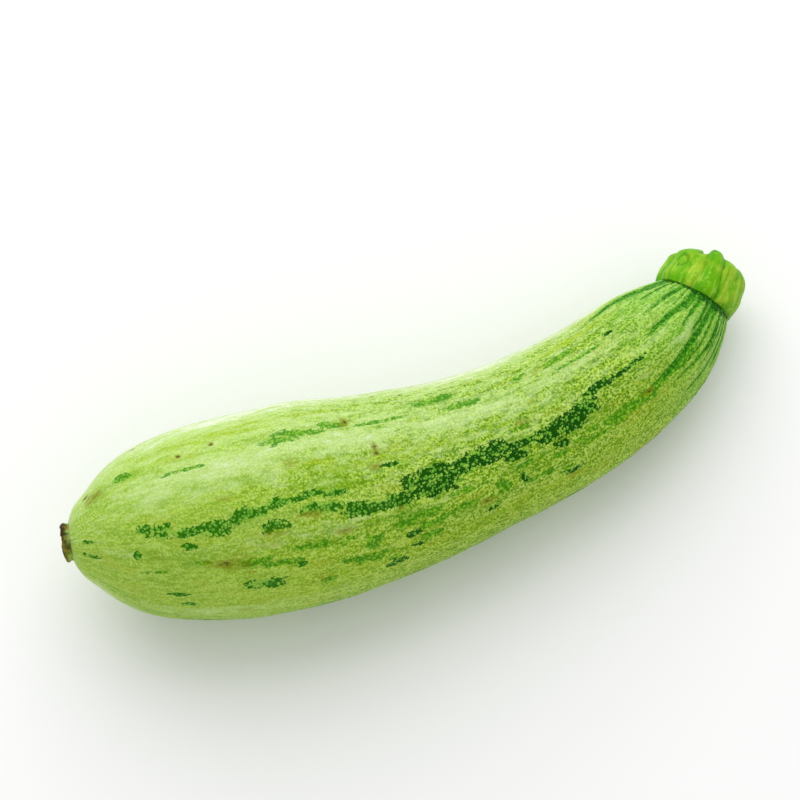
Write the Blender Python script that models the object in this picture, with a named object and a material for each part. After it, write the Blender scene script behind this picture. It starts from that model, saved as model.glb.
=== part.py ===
"""A fresh courgette lying on its side: the fruit, and the cut stub of the stalk that it hung from.

Metres, +Z up. The blossom end is at -X, the stalk at +X, and the fruit bends toward +Y. The origin is
on the surface that the courgette lies on, under the middle of its bounding box.
"""
from math import pi, radians

import bmesh
import bpy
import numpy as np

# The fruit's middle line, from the blossom end to the stalk
LENGTH = 0.1690
START_HEADING = radians(8.7)
BEND = radians(44.5)
BEND_POWER = 2.1         # above 1, most of the bend is near the stalk

# The fruit's girth: (share of the length, radius), without its rounded ends
GIRTH = ((0.00, 0.0260), (0.21, 0.0248), (0.35, 0.0249), (0.49, 0.0221),
         (0.65, 0.01945), (0.83, 0.0174), (1.00, 0.0150))
BLOSSOM_DOME = 0.0445  # length of the elliptical blossom end
BLOSSOM_START = 0.0008  # how far the dome's own tip lies outside the scar
SHOULDER = 0.0265       # length of the elliptical shoulder at the stalk
SHOULDER_START = 0.0066
SHOULDER_TURN = radians(9.4)  # how far the sections turn past the middle line at the stalk
TURN_POWER = 10
PRESSED = 0.0004        # how far the soft skin is pressed flat where it lies

# The corky scar that the flower left, grown as part of the fruit
SCAR_RADIUS = 0.0047
SCAR_LENGTH = 0.0026
SCAR_DISH = 0.0010

# Ribs, which run out from the stalk and fade toward the belly
RIBS = 10
RIB_DEPTH = 0.035       # share of the radius
RIBS_FADE = 0.55        # share of the length where the ribs have gone

# The stalk stub
STALK_GAP = 0.0003
STALK_LENGTH = 0.0118
STALK_LEAN = radians(3)
STALK_PROFILE = ((0.00, 0.0103), (0.12, 0.0108), (0.50, 0.0105), (0.80, 0.0101), (1.00, 0.0088))
STALK_RIDGES = 5
RIDGE_DEPTH = 0.10      # share of the radius
RIDGE_TURN = radians(30)

FRUIT_RINGS = 38
FRUIT_SIDES = 50
STALK_RINGS = 9
STALK_SIDES = 50


def through(points, x):
    """A smooth curve through the points, read at x."""
    px, py = np.array(points).T
    step = np.diff(px)
    rise = np.diff(py) / step
    slope = np.concatenate((rise[:1], (rise[:-1] * step[1:] + rise[1:] * step[:-1])
                            / (step[:-1] + step[1:]), rise[-1:]))
    i = np.clip(np.searchsorted(px, x) - 1, 0, len(step) - 1)
    t = (x - px[i]) / step[i]
    ease = t * t * (3 - 2 * t)
    return (py[i] * (1 - ease) + py[i + 1] * ease
            + step[i] * (slope[i] * t * (1 - t) ** 2 + slope[i + 1] * t * t * (t - 1)))


def dome(distance, length):
    """1 along the body, falling to 0 at the tip of an elliptical end."""
    t = np.clip(distance / length, 0, 1)
    return np.sqrt(1 - (1 - t) ** 2)


def walk(start, headings, steps):
    """The points passed when walking level with these headings and steps."""
    middle = (headings[1:] + headings[:-1]) / 2
    forward = np.stack((np.cos(middle), np.sin(middle), 0 * middle), axis=1) * steps[:, None]
    return np.array(start) + np.concatenate((np.zeros((1, 3)), np.cumsum(forward, axis=0)))


def ring(centre, heading, radii):
    """A closed ring across the middle line, starting at its +Y side and going round by the top."""
    turn = np.linspace(0, 2 * pi, len(radii), endpoint=False)
    across = np.array((-np.sin(heading), np.cos(heading), 0))
    up = np.array((0, 0, 1))
    return centre + radii[:, None] * (np.cos(turn)[:, None] * across + np.sin(turn)[:, None] * up)


def loft(name, rings, first, last, colour, roughness):
    """A closed, smooth-shaded object through the rings, ended at a point on each side."""
    mesh = bpy.data.meshes.new(name)
    bm = bmesh.new()
    loops = [[bm.verts.new(point) for point in points] for points in rings]
    tips = bm.verts.new(first), bm.verts.new(last)
    sides = len(loops[0])
    for i in range(sides):
        j = (i + 1) % sides
        bm.faces.new((tips[0], loops[0][i], loops[0][j]))
        bm.faces.new((tips[1], loops[-1][j], loops[-1][i]))
        for near, far in zip(loops, loops[1:]):
            bm.faces.new((near[i], far[i], far[j], near[j]))
    bmesh.ops.recalc_face_normals(bm, faces=bm.faces)
    bm.to_mesh(mesh)
    bm.free()
    mesh.shade_smooth()
    mesh.set_sharp_from_angle(angle=radians(35))
    mesh.materials.append(skin_material(name, colour, roughness))
    part = bpy.data.objects.new(name, mesh)
    bpy.context.scene.collection.objects.link(part)
    return part


def skin_material(name, colour, roughness):
    material = bpy.data.materials.new(name)
    material.use_nodes = True
    shader = material.node_tree.nodes["Principled BSDF"]
    shader.inputs["Base Color"].default_value = (*colour, 1)
    shader.inputs["Roughness"].default_value = roughness
    shader.inputs["Metallic"].default_value = 0
    return material


def middle_line():
    """The share of the length, facing and centre of each ring, closer together at both ends."""
    share = 0.5 - 0.5 * np.cos(pi * np.linspace(0, 1, FRUIT_RINGS))
    heading = START_HEADING + BEND * share ** BEND_POWER
    centre = walk((0, 0, 0), heading, np.diff(share) * LENGTH)
    centre[:, 2] = through(GIRTH, share) - PRESSED
    return share, heading + SHOULDER_TURN * share ** TURN_POWER, centre


def fruit_radius(share, turn):
    """The fruit's radius, its rounded ends and ribs included."""
    girth = (through(GIRTH, share) * dome(share * LENGTH + BLOSSOM_START, BLOSSOM_DOME)
             * dome((1 - share) * LENGTH + SHOULDER_START, SHOULDER))
    strength = np.clip((share - RIBS_FADE) / (1 - RIBS_FADE), 0, 1) ** 1.5
    return girth * (1 - RIB_DEPTH * strength * (0.5 - 0.5 * np.cos(RIBS * turn)))


def scar_rings(centre, heading):
    """The stub of the scar, from the rim of its sunken face back to the dome."""
    axis = np.array((np.cos(heading), np.sin(heading), 0))
    sides = np.ones(FRUIT_SIDES)
    steps = ((SCAR_DISH, 0.55), (0, 0.80), (SCAR_DISH / 2, 1.0), (SCAR_LENGTH * 0.85, 0.98))
    return [ring(centre + axis * (along - SCAR_LENGTH), heading, sides * SCAR_RADIUS * size)
            for along, size in steps]


def make_fruit():
    share, facing, centre = middle_line()
    turn = np.linspace(0, 2 * pi, FRUIT_SIDES, endpoint=False)
    rings = [ring(centre[i], facing[i], fruit_radius(share[i], turn)) for i in range(FRUIT_RINGS)]
    scar = scar_rings(centre[0], facing[0])
    rings = [np.maximum(points, (-1, -1, 0)) for points in scar + rings]
    return loft("fruit", rings, np.mean(scar[0], axis=0), centre[-1], (0.31, 0.52, 0.09), 0.42)


def make_stalk():
    _, facings, centres = middle_line()
    along = np.linspace(0, 1, STALK_RINGS)
    heading = facings[-1] + STALK_LEAN * along
    out = np.array((np.cos(heading[0]), np.sin(heading[0]), 0))
    centre = walk(centres[-1] + out * STALK_GAP, heading, np.diff(along) * STALK_LENGTH)
    turn = np.linspace(0, 2 * pi, STALK_SIDES, endpoint=False) - RIDGE_TURN
    ridges = 1 - RIDGE_DEPTH * (0.5 - 0.5 * np.cos(STALK_RIDGES * turn))
    rings = [ring(centre[i], heading[i], through(STALK_PROFILE, along[i]) * ridges)
             for i in range(STALK_RINGS)]
    return loft("stalk", rings, centre[0], centre[-1], (0.21, 0.43, 0.03), 0.5)


def stand_on_origin(parts):
    """Move the meshes so that the middle of their common box is over the origin."""
    corners = [np.array(vertex.co) for part in parts for vertex in part.data.vertices]
    middle = (np.min(corners, axis=0) + np.max(corners, axis=0)) / 2
    for part in parts:
        for vertex in part.data.vertices:
            vertex.co.x -= middle[0]
            vertex.co.y -= middle[1]


def main():
    for item in list(bpy.data.objects):
        bpy.data.objects.remove(item, do_unlink=True)
    stand_on_origin([make_fruit(), make_stalk()])


main()
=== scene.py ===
"""The looks of a fresh courgette: its skin, blossom scar and cut stalk, on a white studio floor.

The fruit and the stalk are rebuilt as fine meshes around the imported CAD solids. Their patterns are
placed by the share of the fruit's length, from the blossom end to the stalk, and by the turn around
it in degrees: 0 is its +Y side, 90 its top, 180 its -Y side and 270 its underside.
"""
from math import cos, pi, radians, sin

import bpy
import numpy as np
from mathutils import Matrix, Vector, noise


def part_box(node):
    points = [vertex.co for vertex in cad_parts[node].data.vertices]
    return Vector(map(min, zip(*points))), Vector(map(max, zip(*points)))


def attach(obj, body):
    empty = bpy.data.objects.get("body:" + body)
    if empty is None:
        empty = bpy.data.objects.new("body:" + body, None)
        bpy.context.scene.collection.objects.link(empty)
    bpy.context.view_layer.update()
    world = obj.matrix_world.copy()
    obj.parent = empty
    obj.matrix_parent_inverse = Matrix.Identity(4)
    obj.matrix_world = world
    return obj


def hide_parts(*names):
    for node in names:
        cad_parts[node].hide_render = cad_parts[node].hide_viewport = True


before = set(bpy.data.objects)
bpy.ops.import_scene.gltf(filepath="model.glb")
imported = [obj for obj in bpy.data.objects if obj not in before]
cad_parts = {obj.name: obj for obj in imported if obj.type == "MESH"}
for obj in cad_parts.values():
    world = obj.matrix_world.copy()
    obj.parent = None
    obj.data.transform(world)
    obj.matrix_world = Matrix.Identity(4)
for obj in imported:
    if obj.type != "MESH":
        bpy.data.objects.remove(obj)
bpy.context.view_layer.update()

MM = 0.001

# The fruit's form, as in the CAD model
LENGTH = 0.1690
START_HEADING = radians(8.7)
BEND = radians(44.5)
BEND_POWER = 2.1
GIRTH = ((0.00, 0.0260), (0.21, 0.0248), (0.35, 0.0249), (0.49, 0.0221),
         (0.65, 0.01945), (0.83, 0.0174), (1.00, 0.0150))
BLOSSOM_DOME = 0.0445
BLOSSOM_START = 0.0008
SHOULDER = 0.0265
SHOULDER_START = 0.0066
SHOULDER_TURN = radians(9.4)
TURN_POWER = 10
PRESSED = 0.0004
RIBS = 10
RIB_DEPTH = 0.035
RIBS_FADE = 0.55

# The stalk's form, as in the CAD model
STALK_LENGTH = 0.0118
STALK_LEAN = radians(3)
STALK_PROFILE = ((0.00, 0.0103), (0.12, 0.0108), (0.50, 0.0105), (0.80, 0.0101), (1.00, 0.0088))

# Fineness of the meshes
FRUIT_RINGS = 400
FRUIT_SIDES = 225
SCAR_RINGS = 40
STALK_RINGS = 90
STALK_SIDES = 240
FACE_RINGS = 26
LINE_RINGS = 60         # of the fruit's middle line where it only serves to place the stalk
EVEN = 0.35             # how evenly the fruit's rings are spaced, from 0 to 1

# The skin's relief
BUMPS = ((0.28, 0.018), (0.06, 0.0035))  # height in millimetres, size in metres
INSET = 0.05            # how far the skin lies inside the CAD model, in millimetres
LINE_SINK = 0.25        # depth of the stalk's lines, in millimetres
RELIEF_STARTS = 0.03    # share of the length over which the relief grows at the blossom end
RELIEF_ENDS = 0.02      # and over which it fades at the stalk

# The blossom scar
SCAR_RADIUS = 0.0047
SCAR_LENGTH = 0.0026
SCAR_INSET = 0.4        # how far its rim lies inside the CAD model, in millimetres
SCAR_SHARES = (-0.016, -0.0005)  # its rings carry the share of the length on below 0

# Its profile from the middle of its sunken face: millimetres behind the rim, share of the radius
SCAR_PROFILE = (
    (1.3, 0.10), (1.25, 0.30), (0.9, 0.50), (0.45, 0.64), (0.1, 0.78), (0.0, 0.88), (0.2, 0.96),
    (0.6, 0.99), (1.1, 0.98), (1.6, 0.96), (2.1, 0.97), (2.5, 1.0))

# The stalk's own form
STALK_SIZE = 0.985      # its size beside the CAD model's, which leaves room for its bumps
LOBE_DEPTH = 0.11       # valleys between the lobes, as a share of the radius
STALK_BULGE = 0.035     # its bulge toward the turn below, as a share of the radius
BULGE_TURN = 190
DIMPLE_AT = 0.52        # share of the stalk's length
DIMPLE_TURN = 54
DIMPLE_RADIUS = 1.8     # millimetres, as are its ring's half width and depth
DIMPLE_WIDTH = 0.7
DIMPLE_DEPTH = 0.28
FACE_SINK = 0.7         # how far the middle of its cut face is sunk, in millimetres

# The skin's pattern
GRAIN_RADIUS = 0.025    # the long patterns are wrapped round a roll of this radius
FIBRE_RADIUS = 0.01     # and the stalk's round one of this radius
CELLS = 1450.0          # dots a metre

# The studio
ROOM_LIGHT = 0.72
FLOOR_HALF = 1.5
FLOOR_WHITE = 0.92

# Marks on the skin: share of the length, turn in degrees, length and width in millimetres, and
# strength. Above 1 it gives a pale band its whitest tone, a painted highlight, and a brown spot its
# dark core.
DARK_MARKS = (
    (.110, 104, 4.4, 2.6, .95), (.132, 106, 4.6, 3.4, .95), (.164, 109, 6.4, 2.4, .95),
    (.205, 109, 7.5, 3.2, 1), (.237, 107, 5, 1.4, .95), (.262, 104, 8, 2.8, 1),
    (.298, 102, 8, 2.2, 1), (.286, 114, 6.2, 2.4, .95), (.166, 117, 3.6, 1.5, .95),
    (.342, 101, 8, 1.5, .95), (.378, 103, 7, 1.7, 1), (.340, 108, 6, 2.2, .95),
    (.366, 110, 7, 2.8, 1), (.398, 115, 6, 2.8, 1), (.425, 116, 8, 3.0, 1), (.458, 116, 8, 3.4, 1),
    (.486, 110, 6, 4.2, 1), (.512, 107, 10, 4.2, 1), (.515, 115, 12, 3.8, 1),
    (.552, 110, 8, 3.0, 1), (.578, 107, 9, 4.0, 1), (.606, 107, 7, 3.8, 1), (.650, 110, 12, 1.9, 1),
    (.636, 116, 6.0, 2.4, .9), (.688, 112, 8, 3.8, 1), (.722, 112, 9, 4.4, 1),
    (.748, 109, 7, 3.6, 1), (.697, 123, 3.6, 1.9, .95), (.782, 101, 10, 1.9, 1),
    (.839, 102, 10.5, 1, .95), (.466, 94, 6.0, 1.1, .9), (.140, 150, 5.4, 1.3, .9),
    (.152, 159, 2.6, 1.6, .9), (.259, 147, 10, 2.8, .9), (.312, 139, 5, 1.1, .8),
    (.437, 158, 5.0, 2.0, .9), (.468, 140, 3.4, 1.6, .9), (.470, 149, 3.4, 1.8, .8),
    (.577, 145, 3.0, 1.0, .8), (.700, 147, 5.2, 1.6, .9), (.634, 133, 1.8, 2.4, .9),
    (.094, 121, 2.0, 1.9, .8), (.849, 67, 3.4, 1.1, .9), (.027, 107, 2.6, .9, .9),
    (.030, 124, 5.0, .9, .9))
GREEN_MARKS = (
    (.337, 64, 14.5, 3.8, .8), (.402, 60, 8.5, 2.2, .8), (.470, 63, 16, .9, .8),
    (.173, 71, 11, 1.0, .9), (.090, 60, 5, 2.2, 1), (.556, 55, 13.0, 2.8, .85),
    (.588, 66, 11, 2.4, .75), (.688, 61, 5, 1.7, .8), (.760, 62, 14.0, 1.8, .9),
    (.787, 72, 17, .8, .9), (.656, 99, 5.5, 1.4, .8), (.600, 133, 3.8, 3.4, 1),
    (.413, 136, 4.4, 3.4, 1), (.247, 131, 9, 1.8, .75), (.328, 129, 11, 2.2, .85),
    (.466, 131, 11, 2.6, .8), (.405, 147, 8, 2.8, .8), (.500, 137, 8, 2.4, .8),
    (.810, 130, 20, 3.0, 1), (.486, 146, 7, 2.6, .9), (.345, 154, 4.0, 2, .8),
    (.660, 138, 10, 2.0, .7), (.560, 124, 10, 1.6, .7), (.740, 127, 9, 1.6, .7),
    (.120, 133, 9, 1.2, .55), (.180, 128, 9, 1.0, .55), (.290, 135, 9, 1.8, .8),
    (.372, 131, 6, 1.8, .75), (.452, 125, 7, 1.6, .75), (.500, 130, 6, 2.4, .8),
    (.545, 135, 6, 1.8, .75), (.690, 130, 5, 1.6, .7), (.745, 132, 7, 2.0, .75),
    (.880, 129, 18, 2.6, .95), (.440, 151, 5, 2.6, .75), (.640, 125, 5, 1.4, .7),
    (.580, 143, 5, 1.8, .7), (.375, 144, 4, 2.4, .8), (.690, 144, 5, 1.6, .7))
# Pale bands: those at turns 72 to 77 are the skin's pale streaks with a painted highlight on them,
# the wide one at turn 60 is a painted veil of light on the upper side, and those at turns 19 to 30
# and 186 to 203 are a painted reflection along the top and bottom edges; the rest are the skin's
# own.
PALE_BANDS_AND_PAINTED_HIGHLIGHTS = (
    (.200, 77, 46, 11, 1), (.380, 72, 60, 10, 1), (.585, 73, 50, 8, .9), (.745, 76, 40, 5, .8),
    (.330, 30, 96, 10, 1), (.680, 29, 66, 9, 1), (.040, 186, 14, 7, 1), (.045, 22, 18, 8, 1),
    (.885, 97, 12, 2, .8), (.180, 168, 30, 4, .6), (.060, 120, 10, 3, .5), (.450, 60, 150, 28, .65),
    (.850, 20, 44, 9, 1), (.930, 112, 10, 3, .7), (.350, 122, 60, 3.5, .55),
    (.300, 25, 110, 15, 1.5), (.660, 25, 84, 12, 1.5), (.890, 19, 30, 8, 1.9),
    (.030, 20, 10, 8, 1.6), (.034, 190, 12, 8, 1.5), (.580, 203, 100, 9, 1.05))
# Yellow bands: the two wide ones at turns 150 and 160 are painted shade, yellowing the lower side as
# if shaded; the narrow ones are the skin's own yellow marks.
YELLOW_BANDS_AND_PAINTED_SHADE = (
    (.600, 150, 190, 24, .42), (.330, 160, 110, 20, .36), (.225, 49, 34, 4.0, 1),
    (.790, 50, 34, 2.4, .8), (.485, 90, 50, 3.5, .6), (.360, 84, 14, 3, .6))
BROWN_SPOTS = (
    (.417, 59, 3.0, 3, 1), (.448, 84, 1.6, 5.0, 1), (.440, 93, 3.0, 1.6, .7),
    (.325, 81, 4, 2.4, .8), (.170, 60, 1.5, 1.3, 1.5), (.219, 57, 1.3, 1.2, 1.5),
    (.513, 40, 1.2, 1.0, 1.5), (.044, 60, 5, 3.5, .9), (.030, 48, 1.6, 1.2, 1.4),
    (.215, 130, 10, 4, .75), (.345, 112, 9, 2.6, .7), (.245, 138, 2.0, 1.0, 1.1),
    (.285, 120, 9, 4, .5), (.330, 150, 7, 3, .6), (.120, 122, 5, 2.6, .55), (.575, 138, 6, 2.5, .6),
    (.380, 125, 5, 2, .6), (.660, 96, 5, 2.2, .55), (.225, 94, 5, 2, .5), (.790, 118, 5, 2, .6),
    (.836, 129, 3.5, 2, .6), (.700, 153, 5, 1.4, .7), (.225, 169, 4, 2, .7),
    (.460, 122, 1.6, 1.4, 1))

# Marks on the side that the ones above leave bare: seed, range of their lengths, widths and gaps in
# millimetres, and the turns of their rows in degrees
HIDDEN_MARKS = {
    "dark": (11, (5, 18), (1.4, 4.5), (3, 22), range(200, 370, 25)),
    "green": (23, (6, 18), (2, 4), (4, 20), range(188, 372, 23)),
    "pale_and_highlight": (7, (40, 70), (4, 7), (10, 25), range(196, 380, 45)),
    "yellow_and_shade": (3, (25, 50), (2.5, 4), (20, 50), range(215, 380, 45)),
    "brown": (31, (1.2, 3.5), (1, 3), (25, 70), range(190, 400, 40)),
}

# Broad swellings and hollows: share of the length, turn in degrees, length in millimetres, half
# width in degrees, height in millimetres
SWELLINGS = (
    (.310, 14, 50, 50, -.28), (.420, 14, 20, 40, -.1), (.575, 192, 30, 40, -.5),
    (.780, 190, 34, 50, .6), (.500, 190, 16, 40, .3), (.360, 192, 30, 40, .3),
    (.830, 14, 34, 50, -.35), (.026, 14, 10, 90, -.85), (.030, 194, 11, 90, -.95))

# Green lines that run out from the stalk: turn in degrees, length and width in millimetres,
# strength
STALK_LINES = (
    (41, 30, 1.7, 1.2), (50, 9, .7, .7), (57, 13, .7, .9), (66, 8, .6, .6), (75, 18, 1.0, .9),
    (84, 10, .6, .7), (92, 22, 1.5, 1), (100, 9, .7, .7), (107, 14, 1.2, 1), (116, 12, .9, .9),
    (125, 30, 1.6, 1), (133, 20, .8, .9), (141, 26, 1.0, 1), (150, 18, .8, .9), (159, 24, 1.0, 1),
    (169, 14, .8, .8), (180, 24, 1.2, .9), (190, 10, .7, .7), (200, 20, 1.4, 1), (214, 14, .9, .8),
    (228, 26, 1.4, 1), (241, 12, .8, .8), (252, 18, 1.0, .9), (266, 22, 1.5, 1), (279, 10, .7, .7),
    (292, 18, 1.1, .9), (306, 26, 1.4, 1), (318, 12, .8, .8), (331, 20, 1.2, .9), (345, 14, .9, .8),
    (0, 22, 1.3, .8), (11, 12, .8, .5), (24, 9, .7, .5))

# Lobes round the stalk: turn and half width in degrees, height as a share, paleness, partly a
# painted highlight on the lobe's crest, and how far their ends reach in millimetres
STALK_LOBES = (
    (50, 25, 1.0, .25, -0.8), (76, 10, .80, .75, -1.1), (103, 20, 1.0, .05, 0.5),
    (133, 12, .88, .9, -0.3), (162, 23, 1.0, .75, -0.4), (200, 21, 1.0, .5, 0.0),
    (237, 18, .85, .7, -1.0), (273, 21, 1.0, .3, -0.6), (309, 17, .90, .8, -1.5),
    (338, 16, .90, .4, -2.0), (9, 21, .95, .4, -2.3))

# Colours from 0 to 255. The skin's patterns have one for the net and one for the dots in it.
# Some stand in for light: the whitest tone is a painted highlight, the stalk's valley and root
# greens are painted shade, and the rim greens are partly painted shade.
COLOURS = {
    "net": (125, 166, 10), "net_light": (147, 186, 30), "dot": (161, 198, 44),
    "dot_light": (181, 213, 76), "band_light": (186, 214, 112), "band_dark": (118, 162, 24),
    "thread_dark": (100, 156, 26), "thread_light": (196, 222, 128), "freckle_dark": (92, 138, 2),
    "freckle_light": (186, 216, 100), "speck_dark": (78, 132, 0), "speck_light": (190, 220, 112),
    "patch_green": (96, 150, 8), "patch_olive": (156, 168, 36), "stalk_end": (122, 192, 78),
    "blossom_end": (158, 192, 76), "yellow_net": (138, 172, 10), "yellow_dot": (166, 196, 30),
    "pale_net": (182, 212, 126), "pale_dot": (200, 223, 152), "highlight_white": (224, 232, 206),
    "green_net": (52, 126, 2), "green_dot": (122, 182, 30), "streak_ground": (116, 178, 56),
    "streak": (16, 76, 0), "streak_light": (40, 108, 0), "streak_dot": (86, 156, 34),
    "streak_dot_light": (150, 202, 86), "brown_edge": (128, 132, 12), "brown_core": (66, 52, 14),
    "line_net": (22, 104, 0), "line_dot": (72, 152, 14), "rim_shade_net": (8, 72, 6),
    "rim_shade_dot": (44, 118, 22), "cork_dark": (50, 42, 8), "cork": (116, 102, 32),
    "cork_light": (176, 164, 88), "stalk": (98, 170, 0), "stalk_pale_and_highlight": (150, 190, 38),
    "stalk_valley_shade": (54, 128, 2), "dimple": (48, 120, 2), "fibre_light": (176, 212, 80),
    "fibre_dark": (66, 138, 2), "stalk_spot": (190, 218, 96), "stalk_root_shade": (60, 134, 6),
    "flesh": (150, 178, 66), "flesh_light": (204, 214, 132), "flesh_edge": (122, 156, 34),
}


def through(points, x):
    """A smooth curve through the points, read at x."""
    px, py = np.array(points).T
    step = np.diff(px)
    rise = np.diff(py) / step
    slope = np.concatenate((rise[:1], (rise[:-1] * step[1:] + rise[1:] * step[:-1])
                            / (step[:-1] + step[1:]), rise[-1:]))
    i = np.clip(np.searchsorted(px, x) - 1, 0, len(step) - 1)
    t = (x - px[i]) / step[i]
    ease = t * t * (3 - 2 * t)
    return (py[i] * (1 - ease) + py[i + 1] * ease
            + step[i] * (slope[i] * t * (1 - t) ** 2 + slope[i + 1] * t * t * (t - 1)))


def smooth(low, high, x):
    """0 below low, 1 above high, smooth between; a low above high turns it round."""
    t = np.clip((x - low) / (high - low), 0, 1)
    return t * t * (3 - 2 * t)


def dome(distance, length):
    """1 along the body, falling to 0 at the tip of an elliptical end."""
    t = np.clip(distance / length, 0, 1)
    return np.sqrt(1 - (1 - t) ** 2)


def walk(start, headings, steps):
    """The points passed when walking level with these headings and steps."""
    middle = (headings[1:] + headings[:-1]) / 2
    forward = np.stack((np.cos(middle), np.sin(middle), 0 * middle), axis=1) * steps[:, None]
    return np.array(start) + np.concatenate((np.zeros((1, 3)), np.cumsum(forward, axis=0)))


def bumps(points, size, octaves=2):
    """Soft random relief from -1 to 1 with features of this size, at an array of points."""
    flat = points.reshape(-1, 3) / size
    found = [noise.fractal(Vector(p), 1.0, 2.0, octaves) for p in flat]
    return np.clip(np.array(found).reshape(points.shape[:-1]), -1, 1)


def turns(sides):
    return np.linspace(0, 2 * pi, sides, endpoint=False)


def apart(turn, degrees):
    """How far a turn is from one given in degrees, from -pi to pi."""
    return (turn - radians(degrees) + pi) % (2 * pi) - pi


def middle_line(count):
    """Share, facing and centre of rings along the fruit, closer together at both ends."""
    t = np.linspace(0, 1, count)
    share = EVEN * t + (1 - EVEN) * (0.5 - 0.5 * np.cos(pi * t))
    heading = START_HEADING + BEND * share ** BEND_POWER
    centre = walk((0, 0, 0), heading, np.diff(share) * LENGTH)
    centre[:, 2] = through(GIRTH, share) - PRESSED
    return share, heading + SHOULDER_TURN * share ** TURN_POWER, centre


def fruit_radii(share, turn):
    """The CAD fruit's radii, rings x sides, with its rounded ends and its ribs."""
    girth = (through(GIRTH, share) * dome(share * LENGTH + BLOSSOM_START, BLOSSOM_DOME)
             * dome((1 - share) * LENGTH + SHOULDER_START, SHOULDER))
    strength = np.clip((share - RIBS_FADE) / (1 - RIBS_FADE), 0, 1) ** 1.5
    valleys = 0.5 - 0.5 * np.cos(RIBS * turn)
    return girth[:, None] * (1 - RIB_DEPTH * strength[:, None] * valleys)


def sweep(centre, heading, radii, turn, lean=0):
    """Points at radii (rings x sides) around the centres, leaned along the line by lean."""
    across = np.stack((-np.sin(heading), np.cos(heading), 0 * heading), axis=1)[:, None]
    ahead = np.stack((np.cos(heading), np.sin(heading), 0 * heading), axis=1)[:, None]
    up = np.array((0, 0, 1))
    side = np.cos(turn)[None, :, None] * across + np.sin(turn)[None, :, None] * up
    lean = np.broadcast_to(lean, radii.shape)
    return centre[:, None] + radii[..., None] * side + lean[..., None] * ahead


def lofted(name, points, values):
    """A closed smooth mesh through rings of points, with point attributes and a UV map."""
    rings, sides = points.shape[:2]
    index = np.arange(rings * sides).reshape(rings, sides)
    beside = np.roll(index, -1, axis=1)
    quads = np.stack((index[:-1], index[1:], beside[1:], beside[:-1]), axis=-1)
    first, last = rings * sides, rings * sides + 1
    faces = quads.reshape(-1, 4).tolist()
    faces += [(first, a, b) for a, b in zip(index[0].tolist(), beside[0].tolist())]
    faces += [(last, b, a) for a, b in zip(index[-1].tolist(), beside[-1].tolist())]
    tips = points[0].mean(axis=0), points[-1].mean(axis=0)
    mesh = bpy.data.meshes.new(name)
    mesh.from_pydata(np.concatenate((points.reshape(-1, 3), tips)).tolist(), [], faces)
    mesh.update()
    for key, value in values.items():
        add_attribute(mesh, key, np.broadcast_to(value, (rings, sides) + np.shape(value)[2:]))
    add_bake_map(mesh, points)
    mesh.shade_smooth()
    piece = bpy.data.objects.new(name, mesh)
    bpy.context.scene.collection.objects.link(piece)
    return piece


def add_attribute(mesh, key, value):
    """Store rings x sides values on the points; the two tips take the mean of their ring."""
    if value.ndim == 3:
        tips = np.stack((value[0].mean(axis=0), value[-1].mean(axis=0)))
        full = np.concatenate((value.reshape(-1, 3), tips))
        mesh.attributes.new(key, "FLOAT_VECTOR", "POINT").data.foreach_set("vector", full.ravel())
    else:
        full = np.concatenate((value.ravel(), [value[0].mean(), value[-1].mean()]))
        mesh.attributes.new(key, "FLOAT", "POINT").data.foreach_set("value", full)


def add_bake_map(mesh, points):
    """A UV map that unrolls the rings, with its seam along the underside."""
    rings, sides = points.shape[:2]
    steps = np.linalg.norm(np.diff(points, axis=0), axis=2).mean(axis=1)
    run = np.concatenate(([0], np.cumsum(steps)))
    along = 0.02 + 0.96 * run / run[-1]
    layer = mesh.uv_layers.new(name="OFBake")
    loops = np.empty(len(mesh.loops), dtype=int)
    mesh.loops.foreach_get("vertex_index", loops)
    ring_of = np.minimum(loops // sides, rings - 1)
    side_of = (loops % sides + sides // 4) % sides / sides
    starts = np.empty(len(mesh.polygons), dtype=int)
    totals = np.empty(len(mesh.polygons), dtype=int)
    mesh.polygons.foreach_get("loop_start", starts)
    mesh.polygons.foreach_get("loop_total", totals)
    face_of = np.repeat(np.arange(len(starts)), totals)
    tip = loops >= rings * sides
    highest = np.zeros(len(starts))
    np.maximum.at(highest, face_of, np.where(tip, 0, side_of))
    wraps = (side_of < 0.25) & (highest[face_of] > 0.75)
    side_of = np.where(wraps, side_of + 1, side_of)
    uv = np.stack((along[ring_of], 0.01 + 0.97 * side_of), axis=1)
    first, last = loops == rings * sides, loops == rings * sides + 1
    for which, edge in ((first, 0.005), (last, 0.995)):
        partner = np.zeros(len(starts))
        count = np.zeros(len(starts))
        np.add.at(partner, face_of[~tip], side_of[~tip])
        np.add.at(count, face_of[~tip], 1)
        uv[which, 0] = edge
        uv[which, 1] = (0.01 + 0.97 * partner / count)[face_of[which]]
    layer.data.foreach_set("uv", uv.ravel())


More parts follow.
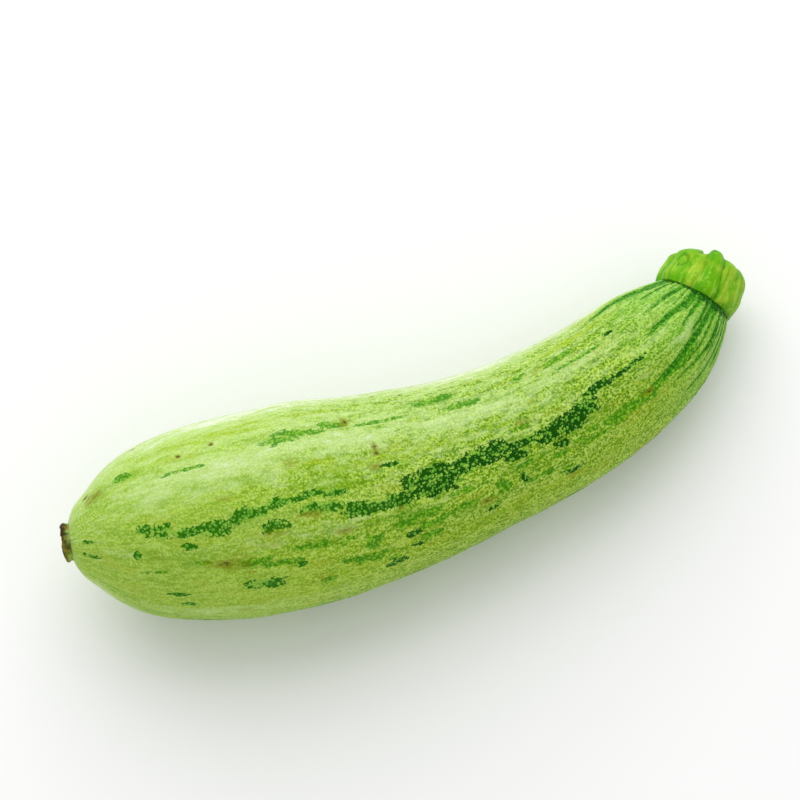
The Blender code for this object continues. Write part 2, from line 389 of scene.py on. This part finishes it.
class Nodes:
    """Short ways to add shader nodes to one material and to join them."""

    def __init__(self, name):
        self.material = bpy.data.materials.new(name)
        self.material.use_nodes = True
        self.tree = self.material.node_tree
        self.shader = self.tree.nodes["Principled BSDF"]

    def put(self, socket, value):
        if isinstance(value, bpy.types.NodeSocket):
            self.tree.links.new(value, socket)
        elif isinstance(value, tuple) and socket.type == "RGBA":
            socket.default_value = (*value, 1)
        else:
            socket.default_value = value

    def set(self, name, value):
        self.put(self.shader.inputs[name], value)

    def add(self, kind, output=0, settings=None, **inputs):
        node = self.tree.nodes.new("ShaderNode" + kind)
        for key, value in (settings or {}).items():
            setattr(node, key, value)
        for key, value in inputs.items():
            self.put(node.inputs[key.replace("_", " ")], value)
        return node.outputs[output]

    def math(self, operation, *values):
        node = self.tree.nodes.new("ShaderNodeMath")
        node.operation = operation
        for socket, value in zip(node.inputs, values):
            self.put(socket, value)
        return node.outputs[0]

    def times(self, a, b):
        return self.math("MULTIPLY", a, b)

    def plus(self, a, b):
        return self.math("ADD", a, b)

    def attribute(self, name, output="Fac"):
        return self.add("Attribute", output, {"attribute_name": name})

    def ramp(self, value, low, high, top=1.0, start=0.0):
        """start below low and start + top above high; a low above high turns it round."""
        return self.add("MapRange", settings={"interpolation_type": "SMOOTHSTEP"}, Value=value,
                        From_Min=low, From_Max=high, To_Min=start, To_Max=start + top)

    def mix(self, factor, a, b):
        node = self.tree.nodes.new("ShaderNodeMix")
        node.data_type = "RGBA"
        for name, value in (("Factor_Float", factor), ("A_Color", a), ("B_Color", b)):
            self.put(next(s for s in node.inputs if s.identifier == name), value)
        return next(s for s in node.outputs if s.identifier == "Result_Color")

    def noise(self, vector, scale, detail=2.0, output=0):
        return self.add("TexNoise", output, Vector=vector, Scale=scale, Detail=detail)

    def centred(self, vector, scale, detail=2.0, size=1.0):
        """Noise about zero."""
        return self.math("MULTIPLY_ADD", self.noise(vector, scale, detail), size, -0.5 * size)

    def frayed(self, name, noise, amount):
        """A field of marks with its edges pushed about by noise, and nothing added far outside."""
        field = self.attribute(name)
        near = self.ramp(field, 0.0, 0.3, amount)
        return self.plus(field, self.times(noise, near))

    def stretched(self, vector, along, across):
        """The fruit's own coordinates at so many waves a metre along and across it."""
        return self.add("Mapping", Vector=vector, Scale=(along, across, across))

    def warped(self, vector, scale, amount):
        """The vector pushed about by soft noise."""
        push = self.tree.nodes.new("ShaderNodeVectorMath")
        push.operation = "MULTIPLY_ADD"
        self.put(push.inputs[0], self.noise(vector, scale, 1.0, "Color"))
        push.inputs[1].default_value = (amount, amount, amount)
        self.put(push.inputs[2], vector)
        return push.outputs[0]


def tint(name):
    """A listed colour as linear values."""
    return tuple(((c / 255 + 0.055) / 1.055) ** 2.4 if c > 10 else c / 3294.6
                 for c in COLOURS[name])


def mark_field(marks, share, turn, radii):
    """How far inside the marks each point is, by their strength: 0 well outside them, 0.4 at an
    edge and 1 in the middle of a mark with strength 1."""
    field = np.zeros(radii.shape)
    for at, angle, length, width, strength in marks:
        along = (share[:, None] - at) * LENGTH / (length * MM / 2)
        sway = 0.08 * width * MM * np.sin(3 * along + angle)
        aside = (radii * apart(turn, angle) + sway) / (width * MM / 2)
        away = (np.abs(along) ** 2.6 + aside ** 2) ** 0.5
        field = np.maximum(field, strength * np.clip(1 - 0.6 * away, 0, 1))
    return field


def swelling(share, turn):
    """The height in millimetres of the listed swellings and hollows over the CAD model."""
    height = np.full((len(share), len(turn)), -INSET)
    for at, angle, length, half_width, high in SWELLINGS:
        along = (share[:, None] - at) * LENGTH / (length * MM / 2)
        height += high * np.exp(-along ** 2 - (apart(turn, angle) / radians(half_width)) ** 2)
    return height


def line_field(share, turn, radii):
    """How strongly the stalk's green lines colour each point."""
    field = np.zeros(radii.shape)
    from_rim = (1 - share[:, None]) * LENGTH
    for angle, length, width, strength in STALK_LINES:
        reach = np.clip(1 - from_rim / (length * MM), 0, 1)
        half = width * MM * (0.3 + 0.35 * reach)
        wander = radians(1.6) * np.sin(from_rim / (4.0 * MM) + angle)
        aside = np.abs(radii * (apart(turn, angle) + wander)) / half
        across = np.clip(1.3 - 0.8 * aside, 0, 1)
        field = np.maximum(field, strength * across * smooth(0, 0.35, reach))
    return field


def hidden_marks(seed, lengths, widths, gaps, rows):
    """Broken rows of marks for the side that the listed marks leave bare."""
    chance = np.random.default_rng(seed)
    marks = []
    for angle in rows:
        at = chance.uniform(0.08, 0.2)
        while at < 0.9:
            length = chance.uniform(*lengths)
            marks.append((at, angle + chance.uniform(-4, 4), length, chance.uniform(*widths),
                          chance.uniform(0.65, 1)))
            at += (length + chance.uniform(*gaps)) * MM / LENGTH
    return tuple(marks)


def make_fruit(shift):
    share, facing, centre = middle_line(FRUIT_RINGS)
    turn = turns(FRUIT_SIDES)
    radii = fruit_radii(share, turn)
    lines = line_field(share, turn, radii)
    plain = sweep(centre, facing, radii, turn)
    ease = smooth(0, RELIEF_STARTS, share)[:, None] * smooth(0, RELIEF_ENDS, 1 - share)[:, None]
    relief = sum(height * bumps(plain, size) for height, size in BUMPS) + swelling(share, turn)
    radii = radii + ease * relief * MM
    radii = radii - LINE_SINK * MM * lines
    scar, scar_radii = scar_rings(centre[0], facing[0], turn)
    points = np.concatenate((scar, sweep(centre, facing, radii, turn)))
    points[..., 2] = np.maximum(points[..., 2], 0)
    points = points + shift
    radii = np.concatenate((scar_radii, radii))
    share = np.concatenate((np.linspace(*SCAR_SHARES, len(scar)), share))
    steps = np.linalg.norm(np.diff(points, axis=0), axis=2).mean(axis=1)
    run = np.concatenate(([0], np.cumsum(steps)))
    values = {"grain": rolled(run[:, None], GRAIN_RADIUS, turn)}
    for name, listed in (("dark", DARK_MARKS), ("green", GREEN_MARKS), ("pale_and_highlight", PALE_BANDS_AND_PAINTED_HIGHLIGHTS),
                         ("yellow_and_shade", YELLOW_BANDS_AND_PAINTED_SHADE), ("brown", BROWN_SPOTS)):
        values[name] = mark_field(listed + hidden_marks(*HIDDEN_MARKS[name]), share, turn, radii)
    values["lines"] = np.concatenate((np.zeros_like(scar_radii), lines))
    values["rim"] = rim_shade_field(share, turn)
    values["share"] = share[:, None]
    piece = lofted("fruit_skin", points, values)
    piece.data.materials.append(fruit_material())
    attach(piece, "root")
    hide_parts("fruit")


def rolled(along, radius, turn):
    """Coordinates for patterns that run along a roll of this radius."""
    parts = np.broadcast_arrays(along, radius * np.cos(turn), radius * np.sin(turn))
    return np.stack(parts, axis=-1)


def rim_shade_field(share, turn):
    """The dark edge of the skin against the stalk, partly its own darker green and partly painted
    shade where the stalk meets it, strongest on top and toward -Y.
    """
    depth = (0.4 + 2.6 * np.clip(np.cos(apart(turn, 122)), 0, 1) ** 3) * MM
    return smooth(depth, 0.2 * depth, (1 - share[:, None]) * LENGTH)


def scar_rings(start, facing, turn):
    """The blossom scar's stub: a sunken corky face, its uneven rim and its side."""
    fine = np.linspace(0, len(SCAR_PROFILE) - 1, SCAR_RINGS)
    steps = np.arange(len(SCAR_PROFILE))
    along, size = (np.interp(fine, steps, column) for column in zip(*SCAR_PROFILE))
    along = along[:, None] * MM - SCAR_LENGTH + SCAR_INSET * MM
    radii = np.broadcast_to(size[:, None] * SCAR_RADIUS, (len(fine), len(turn)))
    facings = np.full(len(fine), facing)
    centre = np.broadcast_to(start, (len(fine), 3))
    plain = sweep(centre, facings, radii, turn, along)
    uneven = bumps(plain, 0.0016, 3) * smooth(0.1, 0.5, size)[:, None]
    lumpy = bumps(plain, 0.004) * smooth(0.3, 0.8, size)[:, None]
    settle = smooth(-0.1 * MM, -1.0 * MM, along)
    radii = radii * (1 + (0.04 * uneven + 0.07 * lumpy) * settle)
    along = along + (0.25 * MM * uneven + 0.45 * MM * lumpy) * settle
    return sweep(centre, facings, radii, turn, along), radii


class SkinNodes(Nodes):
    """The skin's material, with the coordinates and patterns that its layers share."""

    def __init__(self, name):
        super().__init__(name)
        self.place = self.add("TexCoord", "Object")
        self.grain = self.attribute("grain", "Vector")
        self.share = self.attribute("share")
        self.striae = self.noise(self.stretched(self.grain, 95, 900), 1.0, 3.0)

        # Pale dots in a darker net, each with its own size and tone
        cell_place = self.warped(self.place, 600.0, 0.0006)
        cell = self.add("TexVoronoi", "Distance", Vector=cell_place, Scale=CELLS)
        colour = self.add("TexVoronoi", "Color", Vector=cell_place, Scale=CELLS)
        self.cell = cell
        self.chance = self.add("SeparateColor", 0, Color=colour)
        self.uneven = self.math("MULTIPLY_ADD", self.chance, 0.3, -0.15)
        self.dot = self.ramp(self.plus(cell, self.uneven), 0.66, 0.24)

        # What breaks up the edges of marks, along the grain and cell by cell
        self.broken = self.centred(self.stretched(self.grain, 130, 480), 1.0, 3.0, 1.4)
        short = self.centred(self.stretched(self.grain, 300, 600), 1.0, 3.0, 1.2)
        self.ragged = self.plus(short, self.uneven)


def ground_colour(n):
    """The skin's ground: dots in a net under soft bands, fine threads, freckles and patches."""
    tone = n.ramp(n.noise(n.stretched(n.grain, 18, 70), 1.0, 3.0), 0.35, 0.65)
    net = n.mix(tone, tint("net"), tint("net_light"))
    dots = n.mix(tone, tint("dot"), tint("dot_light"))
    base = n.mix(n.dot, net, dots)
    band = n.noise(n.stretched(n.grain, 7, 130), 1.0, 2.0)
    base = n.mix(n.ramp(band, 0.52, 0.68, 0.45), base, tint("band_light"))
    base = n.mix(n.ramp(band, 0.47, 0.34, 0.4), base, tint("band_dark"))
    ends = n.plus(n.ramp(n.share, 0.34, 0.05, 0.55), n.ramp(n.share, 0.80, 0.98, 0.6))
    base = n.mix(n.times(n.ramp(n.striae, 0.50, 0.60), ends), base, tint("thread_dark"))
    light = n.times(n.ramp(n.striae, 0.49, 0.38), n.times(ends, 0.8))
    base = n.mix(light, base, tint("thread_light"))
    short = n.noise(n.stretched(n.grain, 520, 1150), 1.0, 3.0)
    fine = n.ramp(n.share, 0.25, 0.60, 0.65, 0.35)
    base = n.mix(n.times(n.ramp(short, 0.51, 0.61), fine), base, tint("freckle_dark"))
    base = n.mix(n.ramp(short, 0.48, 0.40, 0.5), base, tint("freckle_light"))
    speck = n.noise(n.place, 1900.0, 2.0)
    base = n.mix(n.times(n.ramp(speck, 0.52, 0.61), fine), base, tint("speck_dark"))
    base = n.mix(n.ramp(speck, 0.47, 0.38, 0.65), base, tint("speck_light"))
    patch = n.noise(n.stretched(n.grain, 70, 210), 1.0, 4.0)
    base = n.mix(n.ramp(patch, 0.55, 0.68, 0.45), base, tint("patch_green"))
    base = n.mix(n.ramp(patch, 0.44, 0.34, 0.35), base, tint("patch_olive"))
    base = n.mix(n.ramp(n.share, 0.80, 0.98, 0.45), base, tint("stalk_end"))
    return n.mix(n.ramp(n.share, 0.42, 0.10, 0.35), base, tint("blossom_end"))


def add_bands(n, base):
    """The listed yellow and pale bands, partly painted shade and highlights, the palest nearly
    white.
    """
    # The wide yellow bands on the lower side are painted shade; the narrow ones are the skin's own.
    yellow_and_shade = n.ramp(n.plus(n.attribute("yellow_and_shade"), n.times(n.broken, 0.4)), 0.15, 0.7, 0.7)
    base = n.mix(yellow_and_shade, base, n.mix(n.dot, tint("yellow_net"), tint("yellow_dot")))
    # The pale bands are partly the skin's own, partly a painted highlight on the upper side and a
    # painted reflection along the top and bottom edges; the whitest tone is that painted highlight.
    pale_and_highlight = n.plus(n.attribute("pale_and_highlight"), n.times(n.plus(n.broken, n.ragged), 0.9))
    colour = n.mix(n.dot, tint("pale_net"), tint("pale_dot"))
    base = n.mix(n.ramp(pale_and_highlight, 0.1, 0.9, 0.75), base, colour)
    return n.mix(n.ramp(pale_and_highlight, 0.85, 1.6, 0.9), base, tint("highlight_white"))


def add_marks(n, base):
    """The green marks, the dark streak with its bright dots, and the brown spots."""
    rough = n.plus(n.ragged, n.broken)
    green = n.ramp(n.frayed("green", rough, 1.1), 0.24, 0.58, 0.9)
    base = n.mix(green, base, n.mix(n.dot, tint("green_net"), tint("green_dot")))
    base = n.mix(n.ramp(n.attribute("dark"), 0.25, 0.55, 0.6), base, tint("streak_ground"))
    flecks = n.ramp(n.plus(n.cell, n.uneven), 0.30, 0.62, 0.16, -0.09)
    dark = n.ramp(n.plus(n.frayed("dark", rough, 1.2), flecks), 0.34, 0.52)
    deep = n.mix(n.ramp(n.share, 0.30, 0.55), tint("streak_light"), tint("streak"))
    low = n.ramp(n.share, 0.50, 0.35, 0.12, 0.55)
    bright = n.ramp(n.plus(n.cell, n.times(n.uneven, 1.8)), low, 0.20)
    dots = n.mix(n.chance, tint("streak_dot"), tint("streak_dot_light"))
    base = n.mix(dark, base, n.mix(bright, deep, dots))
    brown = n.frayed("brown", rough, 1.0)
    base = n.mix(n.ramp(brown, 0.10, 0.85, 0.65), base, tint("brown_edge"))
    return n.mix(n.ramp(brown, 0.75, 1.05, 0.8), base, tint("brown_core"))


def add_stalk_end(n, base):
    """The green lines that run out from the stalk, and the dark rim against it, partly painted
    shade.
    """
    fray = n.plus(n.centred(n.stretched(n.grain, 160, 900), 1.0, 3.0, 1.2), n.ragged)
    line = n.ramp(n.frayed("lines", fray, 1.0), 0.14, 0.85, 0.95)
    base = n.mix(line, base, n.mix(n.dot, tint("line_net"), tint("line_dot")))
    # The dark rim: partly the skin's own darker green, partly painted shade where the stalk meets
    # it.
    rim = n.ramp(n.frayed("rim", n.math("SUBTRACT", n.striae, 0.5), 2.4), 0.15, 0.8, 0.9)
    return n.mix(rim, base, n.mix(n.dot, tint("rim_shade_net"), tint("rim_shade_dot")))


def add_scar(n, base):
    """The corky scar, with the skin's green creeping up its side."""
    tone = n.noise(n.place, 420.0, 3.0)
    cork = n.mix(n.ramp(tone, 0.43, 0.60), tint("cork_dark"), tint("cork"))
    cork = n.mix(n.ramp(tone, 0.58, 0.70, 0.5), cork, tint("cork_light"))
    corky = n.ramp(n.plus(n.share, n.centred(n.place, 350.0, 2.0, 0.016)), 0.0, -0.006)
    return n.mix(corky, base, cork)


def fruit_material():
    n = SkinNodes("fruit_skin")
    n.set("Base Color", add_scar(n, add_stalk_end(n, add_marks(n, add_bands(n, ground_colour(n))))))
    gloss = n.noise(n.place, 420.0)
    n.set("Roughness", n.add("MapRange", Value=gloss, To_Min=0.46, To_Max=0.62))
    n.set("Specular IOR Level", 0.06)
    n.set("Sheen Weight", 0.15)
    n.set("Sheen Roughness", 0.25)
    height = n.plus(n.times(n.dot, 0.6), n.times(n.striae, 0.6))
    height = n.plus(height, n.times(n.noise(n.place, 900.0), 0.6))
    n.set("Normal", n.add("Bump", Height=height, Strength=0.5, Distance=0.0002))
    return n.material


def make_stalk(shift):
    _, facings, centres = middle_line(LINE_RINGS)
    along = np.linspace(0, 1, STALK_RINGS)[:, None]
    heading = facings[-1] + STALK_LEAN * along[:, 0]
    centre = walk(centres[-1], heading, np.diff(along[:, 0]) * STALK_LENGTH)
    turn = turns(STALK_SIDES)
    wander = radians(5) * np.sin(2.2 * along + 3 * turn) + radians(3) * np.sin(5 * along + 5 * turn)
    height, paleness_and_highlight, end = stalk_lobes(turn + wander)
    radii = stalk_radii(along, turn, height)
    plain = sweep(centre, heading, radii, turn)
    dimple = dimple_ring(along, turn, radii, plain)
    radii = radii + 0.25 * MM * bumps(plain, 0.005) + 0.06 * MM * bumps(plain, 0.0014)
    radii = radii - DIMPLE_DEPTH * MM * dimple
    lean = (end - 0.8 * (1 - height)) * MM * along ** 4
    sides = sweep(centre, heading, radii, turn, lean)
    face = cut_face(sides[-1], centre[-1], heading[-1])
    along = np.concatenate((along, np.linspace(1.02, 2, len(face))[:, None]))
    values = {
        "height": extended(height, len(face)),
        "paleness_and_highlight": extended(paleness_and_highlight, len(face)),
        "along": along,
        "dimple": np.concatenate((dimple, np.zeros(face.shape[:2]))),
        "fibre": rolled(along * STALK_LENGTH, FIBRE_RADIUS, turn),
    }
    piece = lofted("stalk_stub", np.concatenate((sides, face)) + shift, values)
    piece.data.materials.append(stalk_material())
    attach(piece, "root")
    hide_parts("stalk")


def stalk_radii(along, turn, height):
    """The stalk's radii with its lobes and its rounded edge, which is rounder toward the bend."""
    radii = STALK_SIZE * through(STALK_PROFILE, along) * (1 - LOBE_DEPTH * (1 - height))
    toward_bend = np.clip(np.cos(turn), 0, 1)
    shrink = 0.15 + 0.09 * toward_bend
    rounded = dome((1 - along) * STALK_LENGTH, (3.2 + 2.4 * toward_bend) * MM)
    radii = radii * (1 - shrink + shrink * rounded)
    return radii * (1 + STALK_BULGE * np.clip(np.cos(apart(turn, BULGE_TURN)), 0, 1))


def dimple_ring(along, turn, radii, plain):
    """1 along the uneven ring of the dimple on the stalk, falling to 0 away from it."""
    away = np.hypot((along - DIMPLE_AT) * STALK_LENGTH, 1.3 * radii * apart(turn, DIMPLE_TURN))
    away = away * (1 + 0.25 * bumps(plain, 0.002))
    return np.exp(-((away - DIMPLE_RADIUS * MM) / (DIMPLE_WIDTH * MM)) ** 2)


def extended(rings, count):
    """The rings with the last one repeated this many times."""
    return np.concatenate((rings, np.repeat(rings[-1:], count, axis=0)))


def stalk_lobes(turn):
    """Height from 0 to 1, paleness partly painted as a highlight, and end shift of the stalk's
    lobes.
    """
    height, paleness_and_highlight, end = (np.zeros(turn.shape) for _ in range(3))
    for angle, half_width, high, pale_and_highlight, reach in STALK_LOBES:
        across = np.degrees(apart(turn, angle)) / half_width
        height = height + (high * np.clip(1.1 - across ** 2, 0, 1) ** 0.7) ** 4
        paleness_and_highlight = np.maximum(paleness_and_highlight, pale_and_highlight * np.exp(-across ** 2))
        end = end + reach * np.exp(-(across / 0.9) ** 4)
    return np.minimum(height ** 0.25, 1), paleness_and_highlight, end


def cut_face(rim, centre, heading):
    """The knife-cut end, sunk a little toward its middle."""
    inward = np.linspace(0.97, 0.04, FACE_RINGS)[:, None, None]
    ahead = np.array((cos(heading), sin(heading), 0))
    return centre + (rim - centre) * inward - FACE_SINK * MM * (1 - inward ** 2) * ahead


def stalk_material():
    n = Nodes("stalk_flesh")
    place = n.add("TexCoord", "Object")
    fibre = n.attribute("fibre", "Vector")
    patchy = n.centred(place, 360.0, 3.0, 2.4)
    # Paler lobe crests: partly the stalk's own paler green, partly a painted highlight.
    pale_and_highlight = n.plus(n.attribute("paleness_and_highlight"), patchy)
    base = n.mix(n.ramp(pale_and_highlight, 0.0, 1.0), tint("stalk"), tint("stalk_pale_and_highlight"))
    # Darker green in the valleys between the lobes: painted shade.
    valley_shade = n.plus(n.attribute("height"), n.centred(place, 520.0, 3.0, 1.2))
    base = n.mix(n.ramp(valley_shade, 0.62, 0.15, 0.8), base, tint("stalk_valley_shade"))
    ring = n.plus(n.attribute("dimple"), n.centred(place, 600.0, 2.0, 0.9))
    base = n.mix(n.ramp(ring, 0.3, 0.95, 0.55), base, tint("dimple"))
    threads = n.noise(n.stretched(fibre, 150, 900), 1.0, 3.0)
    base = n.mix(n.ramp(threads, 0.53, 0.66, 0.45), base, tint("fibre_light"))
    base = n.mix(n.ramp(threads, 0.47, 0.36, 0.45), base, tint("fibre_dark"))
    spots = n.add("TexVoronoi", "Distance", Vector=n.warped(place, 500.0, 0.0008), Scale=620.0)
    base = n.mix(n.ramp(spots, 0.34, 0.06, 0.35), base, tint("stalk_spot"))
    # Darker green at the stalk's foot against the fruit: painted shade.
    root = n.ramp(n.plus(n.attribute("along"), n.centred(place, 500.0, 2.0, 0.3)), 0.12, -0.02, 0.5)
    base = n.mix(root, base, tint("stalk_root_shade"))
    grain = n.ramp(n.noise(place, 600.0, 3.0), 0.35, 0.7)
    flesh = n.mix(grain, tint("flesh"), tint("flesh_light"))
    flesh = n.mix(n.ramp(n.attribute("along"), 1.12, 1.02, 0.8), flesh, tint("flesh_edge"))
    base = n.mix(n.ramp(n.attribute("along"), 1.0, 1.05), base, flesh)
    n.set("Base Color", base)
    n.set("Roughness", n.add("MapRange", Value=threads, To_Min=0.40, To_Max=0.60))
    n.set("Specular IOR Level", 0.1)
    relief = n.plus(n.times(threads, 0.8), n.times(n.noise(place, 800.0), 0.6))
    n.set("Normal", n.add("Bump", Height=relief, Strength=0.5, Distance=0.0004))
    return n.material


def place_of_frame():
    """How far the middle line, which starts at zero, is moved to lie where the CAD model lies."""
    share, facing, centre = middle_line(FRUIT_RINGS)
    turn = turns(FRUIT_SIDES)
    points = sweep(centre, facing, fruit_radii(share, turn), turn)
    shift = np.array(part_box("fruit")[1]) - points.max(axis=(0, 1))
    shift[2] = 0
    return shift


def make_floor():
    mesh = bpy.data.meshes.new("floor")
    corners = [(x * FLOOR_HALF, y * FLOOR_HALF, 0) for x, y in ((-1, -1), (1, -1), (1, 1), (-1, 1))]
    mesh.from_pydata(corners, [], [(0, 1, 2, 3)])
    floor = bpy.data.objects.new("floor", mesh)
    bpy.context.scene.collection.objects.link(floor)
    n = Nodes("floor_white")
    n.set("Base Color", (FLOOR_WHITE, FLOOR_WHITE, FLOOR_WHITE))
    n.set("Roughness", 0.9)
    n.set("Specular IOR Level", 0.1)
    mesh.materials.append(n.material)


def add_light(name, place, target, size, watts):
    lamp = bpy.data.lights.new(name, "AREA")
    lamp.shape = "SQUARE"
    lamp.size = size
    lamp.energy = watts
    light = bpy.data.objects.new(name, lamp)
    light.location = place
    light.rotation_euler = (Vector(target) - Vector(place)).to_track_quat("-Z", "Y").to_euler()
    bpy.context.scene.collection.objects.link(light)


def make_studio():
    """A white room and one large softbox behind the fruit."""
    world = bpy.data.worlds.new("studio")
    world.use_nodes = True
    back = world.node_tree.nodes["Background"]
    back.inputs["Color"].default_value = (1, 1, 1, 1)
    back.inputs["Strength"].default_value = ROOM_LIGHT
    bpy.context.scene.world = world
    add_light("softbox", place=(-0.15, 0.80, 0.83), target=(0, 0, 0.02), size=1.6, watts=12)
    bpy.context.scene.view_settings.view_transform = "Standard"


def make_camera():
    """A long lens looking along +Y and steeply down."""
    elevation = radians(74)
    distance = 1.0
    view_width = 0.200
    target = np.array((-0.00171, 0.01295, 0))
    camera = bpy.data.cameras.new("camera")
    camera.lens = camera.sensor_width * distance / view_width
    viewer = bpy.data.objects.new("camera", camera)
    viewer.location = target + distance * np.array((0, -cos(elevation), sin(elevation)))
    viewer.rotation_euler = (pi / 2 - elevation, 0, 0)
    bpy.context.scene.collection.objects.link(viewer)
    bpy.context.scene.camera = viewer


make_camera()
make_floor()
make_studio()
shift = place_of_frame()
make_fruit(shift)
make_stalk(shift)
